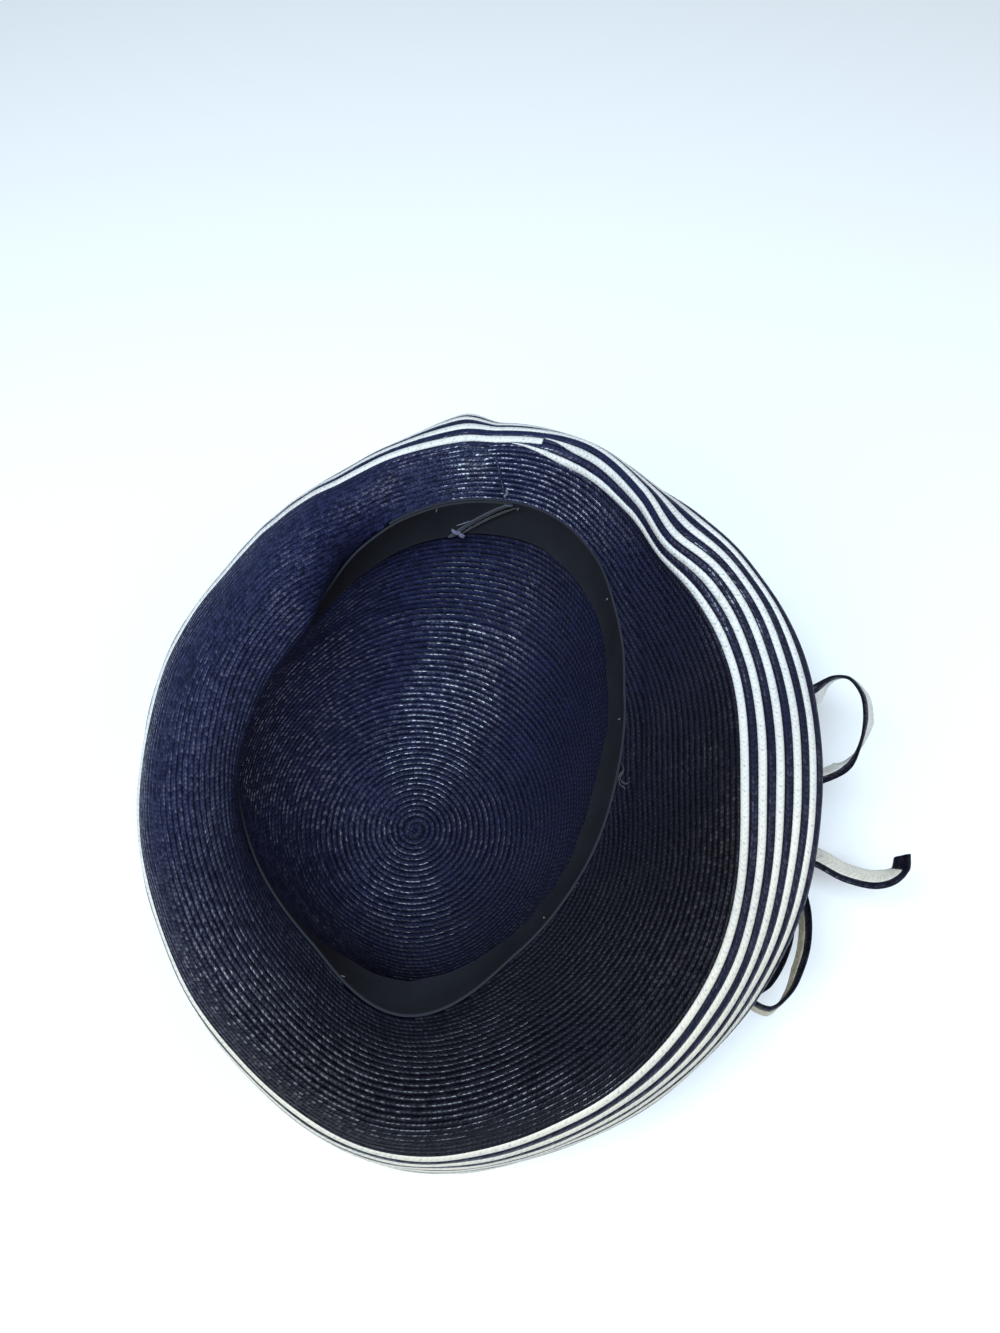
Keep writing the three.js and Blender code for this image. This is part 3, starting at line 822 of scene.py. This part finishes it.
def rim_braid(name, place, parts, near, far, material, over):
    """One braid of the rim, in one or more lengths, each between two turns of the spiral."""
    step, thinnest = 2.4, 0.05
    lengths = [spiral_turns(BRIM, place, first, last, step) for first, last in parts]
    turn = lengths[0]
    joined = np.ones(len(turn), bool)
    for length in lengths[1:]:
        turn = np.concatenate([turn, length[:1], length])
        joined = np.concatenate([joined, [False], np.ones(len(length), bool)])
    growth = np.minimum(start_growth(turn), end_growth(turn))
    keep = joined & (growth > thinnest)
    bulge = 0.38 * growth + 0.05
    inner, outer = near(turn, growth), far(turn, growth)
    return braid_strip(name, BRIM, azimuth_at(turn), inner, outer, bulge, material, keep, over)


def make_rim():
    """The white braid and the navy braid, each wound five times round the rim.  The navy one
    runs a little way under the white one at both of its edges."""
    overlap, trim = 0.35, 0.08

    def white_near(turn, growth):
        return white_row_start(turn) + trim * growth + splice_cut(turn) * WHITE_ROW

    def white_far(turn, growth):
        return white_row_start(turn) + (WHITE_ROW - trim) * growth

    def navy_near(turn, growth):
        return white_row_start(turn) + (WHITE_ROW - overlap) * growth

    def navy_far(turn, growth):
        under_splice = splice_cut(turn + 1) * (WHITE_ROW - 2 * overlap)
        return white_row_start(turn) + (ROW_PERIOD + overlap + under_splice) * growth

    def white_middle(turn):
        return azimuth_at(turn), white_row_start(turn) + WHITE_ROW / 2

    def navy_middle(turn):
        return azimuth_at(turn), white_row_start(turn) + (WHITE_ROW + ROW_PERIOD) / 2

    parts = [(0, SPLICE), (SPLICE + SPLICE_GAP, TURNS)]
    white = rim_braid(
        "white_rim_braid", white_middle, parts, white_near, white_far, white_rim, 0.30
    )
    dress(white, "white_braid", "white_stripe")
    navy = rim_braid(
        "navy_rim_braid", navy_middle, [(0, TURNS)], navy_near, navy_far, navy_rim, 0.15
    )
    dress(navy, "navy_braid", "navy_stripe")


def make_brim_seam():
    """The covered end of the brim's braid, a low edge across the rows at the back."""
    steps, inner_azimuth, outer_azimuth, width = 40, 75.9, 79.6, 1.3
    down = np.linspace(0, 1, steps)[:, None]
    distance = 0.8 + down * (around("navy", outer_azimuth) - 0.8)
    across = np.array([[0.0, 0.2, 0.5, 0.8, 1.0]])
    crest = np.array([[-0.3, 0.6, 0.85, 0.7, -0.3]])
    radius = 110  # about that of the hat there
    degrees = math.degrees(width / radius)
    azimuth = inner_azimuth + (outer_azimuth - inner_azimuth) * down + (across - 0.5) * degrees
    distance = np.broadcast_to(distance, azimuth.shape)
    face = BRIM.at(azimuth, distance, crest)
    back = BRIM.at(azimuth, distance, -0.5)
    uv = braid_places(distance, (across - 0.5) * width)
    dress(make_sheet("brim_seam", face, back, uv, seam_straw), "navy_braid", "brim")


# ---------------------------------------------------------------- sweatband
def sheet_faces(steps, size):
    """Faces of a closed sheet whose rows hold size points of the face, then size of the back."""
    i = np.arange(steps - 1)[:, None] * size * 2
    j = np.arange(size * 2)[None, :]
    k = (j + 1) % (size * 2)
    step = size * 2
    walls = np.stack([i + j, i + k, i + step + k, i + step + j], axis=-1).reshape(-1, 4)
    ends = []
    for start, flip in ((0, False), ((steps - 1) * step, True)):
        for m in range(size - 1):
            face = [start + m, start + m + 1, start + step - 2 - m, start + step - 1 - m]
            ends.append(face if flip else face[::-1])
    return np.concatenate([walls, np.array(ends)])


def thread(name, points, thickness, material, slot, node):
    """A length of sewing thread through points in millimetres, thinner at its ends.  It also
    makes a thin dark line of painted shadow.
    """
    steps, size = 24, 8
    curve = through_points(np.array(points, float), steps)[0]
    along = unit(np.gradient(curve, axis=0))
    right = unit(np.cross(along, [0.3, 0.2, 1.0]))
    up = np.cross(right, along)
    turn = np.arange(size) * 360 / size
    ring = right[:, None] * cosine(turn)[:, None] + up[:, None] * sine(turn)[:, None]
    from_middle = abs(np.linspace(-1, 1, steps))
    radius = thickness / 2 * np.sqrt(np.maximum(1 - from_middle**4, 0.08))
    net = curve[:, None] + ring * radius[:, None, None]
    uv = braid_places(lie_along(curve)[:, None], turn[None, :] / 90)
    dress(mesh_piece(name, net, closed_strip_faces(steps, size), uv, material, 60), slot, node)


def make_sheet(name, face, back, uv, material, sharp=50):
    """A closed sheet between two nets of points of the same size."""
    points = np.concatenate([face, back[:, ::-1]], axis=1)
    places = np.concatenate([uv, uv[:, ::-1]], axis=1)
    return mesh_piece(name, points, sheet_faces(*face.shape[:2]), places, material, sharp)


def band_place(azimuth, drop, depth=0.0):
    """A point of the sweatband: depth 0 is its face towards the head, and BAND_THICK its back."""
    layer = BAND_THICK + GAP
    lift = layer * (1 - smooth(azimuth, BAND_START + 2, BAND_START + BAND_RAMP))
    lean = around("lean", azimuth) * (drop - GAP) / BAND_HEIGHT
    # The lower edge waves a little, except near the ribbon's two ends.
    free = np.clip((drop - GAP) / BAND_HEIGHT, 0, 1)
    wave = 0.45 * np.sin(np.radians(7 * azimuth) + 0.6)
    wave = wave + 0.3 * np.sin(np.radians(13 * azimuth) + 2.0)
    wave = wave + 0.15 * np.sin(np.radians(31 * azimuth))
    wave = wave * free**1.5 * smooth(azimuth, 100, 140)
    wave = np.maximum(wave * (1 - smooth(azimuth, 420, 455)), -0.25)
    return CROWN_SIDE.at(azimuth, drop, GAP + lift + lean + BAND_THICK - depth + wave)


def make_sweatband():
    """Grosgrain ribbon round the inside of the crown, its end lying over its start."""
    steps, size = 900, 13
    finish = BAND_START + 360
    down = np.linspace(0, 1, size)[None, :]
    drop = GAP + down * BAND_HEIGHT
    begin = BAND_END_TOP + (BAND_END_BOTTOM - BAND_END_TOP) * down
    azimuth = begin + np.linspace(0, 1, steps)[:, None] * (finish - begin)
    drop = np.broadcast_to(drop, azimuth.shape)
    middle = np.linspace(BAND_END_TOP, finish, 1000)
    length = lie_along(band_place(middle, np.full(1000, BAND_HEIGHT / 2)))
    along = np.interp(azimuth, middle, length)
    uv = braid_places(along, drop - GAP - BAND_HEIGHT / 2)
    face = band_place(azimuth, drop)
    back = band_place(azimuth, drop, BAND_THICK)
    band = make_sheet("sweatband_ribbon", face, back, uv, grosgrain)
    dress(band, "grosgrain", "sweatband")


def make_band_hem():
    """The turned-in end of the sweatband, a narrow double fold along its slant, its ribbon
    painted lighter than the band's as a painted highlight on the fold.
    """
    width, rise, steps = 3.2, 0.75, 40
    down = np.linspace(0, 1, steps)[:, None]
    drop = GAP + 0.2 + down * (BAND_HEIGHT - 0.4)
    end = BAND_END_TOP + (BAND_END_BOTTOM - BAND_END_TOP) * down
    across = np.array([[0.0, 0.12, 0.5, 0.88, 1.0]])
    crest = np.array([[0.1, 0.75, 1.0, 0.85, 0.2]])
    radius = 100  # about that of the sweatband there
    degrees = width / radius * 57.3  # as many degrees as make up a radian
    azimuth = end - 0.15 + across * degrees
    drop = np.broadcast_to(drop, azimuth.shape)
    face = band_place(azimuth, drop, -rise * crest - 0.02)
    back = band_place(azimuth, drop, 0.25)
    uv = braid_places(across * width, drop - GAP - BAND_HEIGHT / 2)
    hem = make_sheet("sweatband_hem", face, back, uv, grosgrain_hem_highlight)
    dress(hem, "grosgrain", "sweatband")


# ---------------------------------------------------------------- bow
BOW_COLUMNS = ["x", "y", "up", "swing"]
BOW_LOOP_BACK = table(BOW_COLUMNS, [
    [93.7, -3, 65,   0],
    [108,   4, 67,  10],
    [126,  15, 69,  30],
    [149,  30, 71,  50],
    [169,  42, 71,  50],
    [178,  46, 71,   5],
    [184,  45, 71, -30],
    [188,  38, 71, -42],
    [188,  28, 71, -42],
    [185,  16, 71, -10],
    [180,   6, 70,  45],
    [166,  -1, 70,  55],
    [142,  -7, 69,  30],
    [116,  -9, 67,  10],
    [ 94,  -8, 65,   0],
])
BOW_LOOP_FRONT = table(BOW_COLUMNS, [
    [92.5, -14, 64,   0],
    [116, -22, 62,   0],
    [141, -31, 60,   5],
    [157, -37, 60,  15],
    [160, -47, 60,  15],
    [159, -60, 60,  20],
    [155, -71, 60,  20],
    [149, -80, 60,   5],
    [141, -85, 60, -15],
    [135, -82, 60, -10],
    [142, -77, 60, -20],
    [149, -67, 60, -20],
    [153, -55, 60, -20],
    [151, -44, 60, -10],
    [137, -38, 60,   0],
    [115, -28, 60,   0],
    [92, -18, 62,   0],
])
BOW_TAIL = table(BOW_COLUMNS, [
    [92.3, -11, 58.5, -20],
    [118, -17, 57, -50],
    [142, -24, 59, -70],
    [162, -31, 61, -75],
    [174, -38, 62, -70],
    [186, -41, 63, -65],
    [194, -39, 64, -55],
    [199, -34, 65, -35],
    [200, -28, 66, -25],
])


def through_points(points, count):
    """Points of a smooth curve through the given ones, whose bends never overshoot."""
    ends = [2 * points[0] - points[1], 2 * points[-1] - points[-2]]
    p = np.concatenate([[ends[0]], points, [ends[1]]])
    knots = np.sqrt(np.linalg.norm(np.diff(p, axis=0), axis=-1))
    share = np.linspace(0, 1, count) * (len(points) - 1)
    row = np.minimum(share.astype(int), len(points) - 2)
    t = (share - row)[:, None]
    a, b, c, d = (p[row + k] for k in range(4))
    ab, bc, cd = (knots[row + k][:, None] for k in range(3))
    start = ((b - a) / ab - (c - a) / (ab + bc) + (c - b) / bc) * bc
    finish = ((c - b) / bc - (d - b) / (bc + cd) + (d - c) / cd) * bc
    return bend(t, b, start, c, finish), share


def ribbon(name, route, loop, parts):
    """A ribbon of flat braid along a route.  parts names the strips side by side, each with its
    first and last place across the ribbon, its thickness, the outline of its upper half as
    shares across and rises, its material, and the length from the ribbon's end where it begins."""
    knots = np.stack([route["x"], route["y"], route["up"]], axis=-1)
    steps = 400
    edge, share = through_points(knots, steps)
    along = unit(np.gradient(edge, axis=0))
    length = lie_along(edge)
    swing = np.interp(share, np.arange(len(knots)), route["swing"])[:, None]
    right = unit(np.cross(along, [0, 0, 1]))
    across = np.array([0, 0, -1]) * cosine(swing) + right * sine(swing)
    through = unit(np.cross(across, along))
    from_knot = np.minimum(length, length[-1] - length) if loop else length
    gather = RIBBON_PINCH + (1 - RIBBON_PINCH) * smooth(from_knot, 0, PINCH_LENGTH)
    for part, (begin, finish, thick, shares, rise, material, reach) in parts.items():
        kept = length >= length[-1] - reach
        shares = np.array(shares)[None, :]
        rise = np.array(rise)[None, :] * thick / 2
        place = (begin + (finish - begin) * shares) * gather[kept][:, None]
        flutter = 0.25 * np.sin(length[kept] / 9.0)[:, None] * shares
        base = edge[kept][:, None] + across[kept][:, None] * place[..., None]
        face = base + through[kept][:, None] * (flutter + rise)[..., None]
        back = base + through[kept][:, None] * (flutter - rise)[..., None]
        middle = (shares - 0.5) * (finish - begin)
        uv = braid_places(length[kept][:, None], middle)
        piece = make_sheet(f"{name}_{part}", back, face, uv, material, 70)
        dress(piece, "bow_braid", name)


FLAT_OUTLINE = [0.0, 0.06, 0.2, 0.4, 0.6, 0.8, 0.94, 1.0], [0.2, 0.7, 0.9, 0.8, 0.85, 0.9, 0.7, 0.2]
ROUND_OUTLINE = [0.0, 0.15, 0.5, 0.85, 1.0], [0.25, 0.85, 1.1, 0.85, 0.25]


def make_bow():
    """Two loops and a tail of flat white braid with one navy edge.  The front loop's white is
    a darker, warmer copy, as painted shade on its inner face, and the tail's last few
    millimetres are covered in navy braid, as painted shade on its curled end.
    """
    whole, shaded_tip_length = 1000, 7.0
    for name, route, loop, navy, white in (
        ("bow_loop_back", BOW_LOOP_BACK, True, RIBBON_EDGE + 0.6, white_bow),
        # The front loop gets the darker white: painted shade.
        ("bow_loop_front", BOW_LOOP_FRONT, True, RIBBON_EDGE + 1.0, shaded_loop_bow),
        ("bow_tail", BOW_TAIL, False, RIBBON_EDGE - 0.6, white_bow),
    ):
        parts = {
            "white": (navy - 0.3, RIBBON_WIDTH, RIBBON_THICK, *FLAT_OUTLINE, white, whole),
            "navy": (-0.1, navy, RIBBON_THICK * 1.15, *ROUND_OUTLINE, navy_bow, whole),
        }
        if not loop:
            # A navy cover over the tail's last millimetres: painted shade on its curled, shaded
            # end.
            span = (-0.3, RIBBON_WIDTH - 0.4)
            parts["binding"] = (*span, RIBBON_THICK * 1.6, *FLAT_OUTLINE, navy_bow, shaded_tip_length)
        ribbon(name, route, loop, parts)


def make_knot():
    """Two turns of the bow's braid, wrapped close round the loops and pulled into a hard knot."""
    side = CROWN_SIDE.at(KNOT_AZIMUTH, KNOT_DROP)
    below = CROWN_SIDE.at(KNOT_AZIMUTH, KNOT_DROP + 1)
    inward = CROWN_SIDE.sample(CROWN_SIDE.normals, KNOT_AZIMUTH, KNOT_DROP)
    outward = -inward
    sideways = unit(np.cross(below - side, outward))
    upward = unit(np.cross(outward, sideways))
    out, along, up = KNOT_SIZE
    seat = side + outward * (STRAW + 2 * GAP + out / 2)
    size = 48
    turn = np.arange(size) * 360 / size
    level, rise = cosine(turn), sine(turn)
    # A rounded box in section, wound round the line that runs along the hat's side.
    fill = (abs(level) ** 3 + abs(rise) ** 3) ** (-1 / 3)
    section = (
        (level * fill * out / 2)[:, None] * outward + (rise * fill * up / 2)[:, None] * upward
    )
    shares = np.array([0.0, 0.02, 0.08, 0.25, 0.5, 0.75, 0.92, 0.98, 1.0])
    swell = np.array([0.80, 0.88, 0.94, 0.985, 1.0, 0.985, 0.94, 0.88, 0.80])
    length = lie_along(np.concatenate([section, section[:1]]))[:-1]
    for part, first, last, material in (
        ("white_left", -0.50, -0.16, white_bow),
        ("navy_left", -0.17, 0.00, navy_bow),
        ("white_right", -0.01, 0.34, white_bow),
        ("navy_right", 0.33, 0.50, navy_bow),
    ):
        place = (first + (last - first) * shares) * along
        net = seat + section[None] * swell[:, None, None] + sideways * place[:, None, None]
        across = (shares - 0.5) * (last - first) * along
        uv = braid_places(length[None, :], across[:, None])
        faces = closed_strip_faces(len(shares), size)[:, ::-1]
        dress(mesh_piece(f"bow_knot_{part}", net, faces, uv, material, 70), "bow_braid", "bow_knot")


def make_threads():
    """The stitches that hold the sweatband's end, a tack at the brim's seam, loose ends, and a
    dark line beside the sweatband's slanting end that is painted shadow of its hem.
    """
    slot, node = "grosgrain", "sweatband"
    for number, (azimuth, drop, slant) in enumerate(((87.6, 19.6, 1.1), (86.2, 21.8, 0.7))):
        points = [
            band_place(azimuth + slant, drop - 1.5, -0.3),
            band_place(azimuth + slant / 3, drop - 0.4, -1.5),
            band_place(azimuth - slant / 3, drop + 0.3, -1.6),
            band_place(azimuth - slant, drop + 1.2, -0.3),
        ]
        thread(f"hem_knot_{number}", points, 1.6, blue_thread, slot, node)
    loose = [band_place(84.0 + 1.2 * k, 13.0 + 0.9 * k, -0.6 - 0.3 * math.sin(k)) for k in range(4)]
    thread("hem_thread", loose, 0.5, grey_thread, slot, node)
    # A dark strip just beside the slanting end: painted shadow of the hem, not a thread.
    below = [band_place(BAND_END_TOP - 1.1 + 0.7 * k, 1.5 + 1.1 * k, -0.05) for k in range(20)]
    thread("hem_painted_shadow", below, 0.9, dark_thread_and_painted_shadow, slot, node)
    for number, azimuth in enumerate((72.5, 92.0, 40.0, 5.0, -60.0, 150.0, 250.0)):
        points = [band_place(azimuth + 0.1 * k, 0.8 + 0.9 * k, -0.12) for k in range(4)]
        thread(f"band_stitch_{number}", points, 0.45, grey_thread, slot, node)
    tack = [
        BRIM.at(75.9 + 0.25 * math.sin(2 * k), 0.9 + 0.9 * k, 0.5 + 0.35 * (k % 2))
        for k in range(5)
    ]
    thread("brim_tack", tack, 1.1, grey_thread, "navy_braid", "brim")
    curls = (
        ((-10.0, 1.0), (-12.5, 2.4), (-15.0, 1.6), (-16.5, 3.8), (-15.5, 5.6)),
        ((-12.0, 2.6), (-14.5, 0.9), (-17.0, 2.2), (-18.0, 4.4)),
    )
    for number, curl in enumerate(curls):
        points = [BRIM.at(azimuth, distance, 0.9) for azimuth, distance in curl]
        thread(f"loose_thread_{number}", points, 0.4, dark_thread_and_painted_shadow, "navy_braid", "brim")


make_crown()
make_brim()
make_rim()
CROWN_SIDE = crown_side_surface()
make_sweatband()
make_band_hem()
make_brim_seam()
make_bow()
make_knot()
make_threads()


# ---------------------------------------------------------------- floor, light and camera
def make_floor():
    paper = Shader("pale_paper", roughness=0.9, base_color=(0.93, 0.93, 0.93))
    paper.set(specular_ior_level=0.1)
    mesh = bpy.data.meshes.new("floor")
    side = 6.0
    corners = [(-side, -side, 0), (side, -side, 0), (side, side, 0), (-side, side, 0)]
    mesh.from_pydata(corners, [], [(0, 1, 2, 3)])
    mesh.materials.append(paper.material)
    floor = add_object("floor", mesh)


def add_light(name, place, aim, width, height, power, colour=(1, 1, 1)):
    light = bpy.data.lights.new(name, "AREA")
    light.shape = "RECTANGLE"
    light.size = width
    light.size_y = height
    light.energy = power
    light.color = colour
    lamp = add_object(name, light)
    lamp.location = place
    lamp.rotation_euler = (Vector(aim) - Vector(place)).to_track_quat("-Z", "Y").to_euler()


def make_light():
    """Two small lamps almost overhead for the sparkle, and two wide soft ones at the sides."""
    world = bpy.data.worlds.new("studio")
    world.use_nodes = True
    background = world.node_tree.nodes["Background"]
    background.inputs["Color"].default_value = (0.92, 0.96, 1.0, 1)
    background.inputs["Strength"].default_value = 0.045
    bpy.context.scene.world = world
    middle = (0.0, 0.0, 0.05)
    add_light("front_lamp", (-0.12, -0.30, 1.30), middle, 0.85, 0.28, 21, (0.68, 0.85, 1.0))
    add_light("back_lamp", (0.20, 0.38, 1.28), middle, 0.30, 0.30, 1.4, (0.95, 0.98, 1.0))
    add_light("window", (-0.6, -0.5, 0.8), middle, 0.9, 0.9, 4.5, (1.0, 0.98, 0.92))
    add_light("side", (0.9, 0.0, 0.8), middle, 0.9, 0.9, 4, (0.98, 0.98, 1.0))


def make_camera():
    camera = bpy.data.cameras.new("camera")
    camera.sensor_width = 36
    camera.lens = 29.22
    camera.clip_start = 0.01
    eye = add_object("camera", camera)
    eye.location = (0.039, -0.1335, 0.484)
    eye.rotation_euler = (math.radians(24), 0, 0)
    bpy.context.scene.camera = eye
    bpy.context.scene.view_settings.view_transform = "Standard"


make_floor()
make_light()
make_camera()
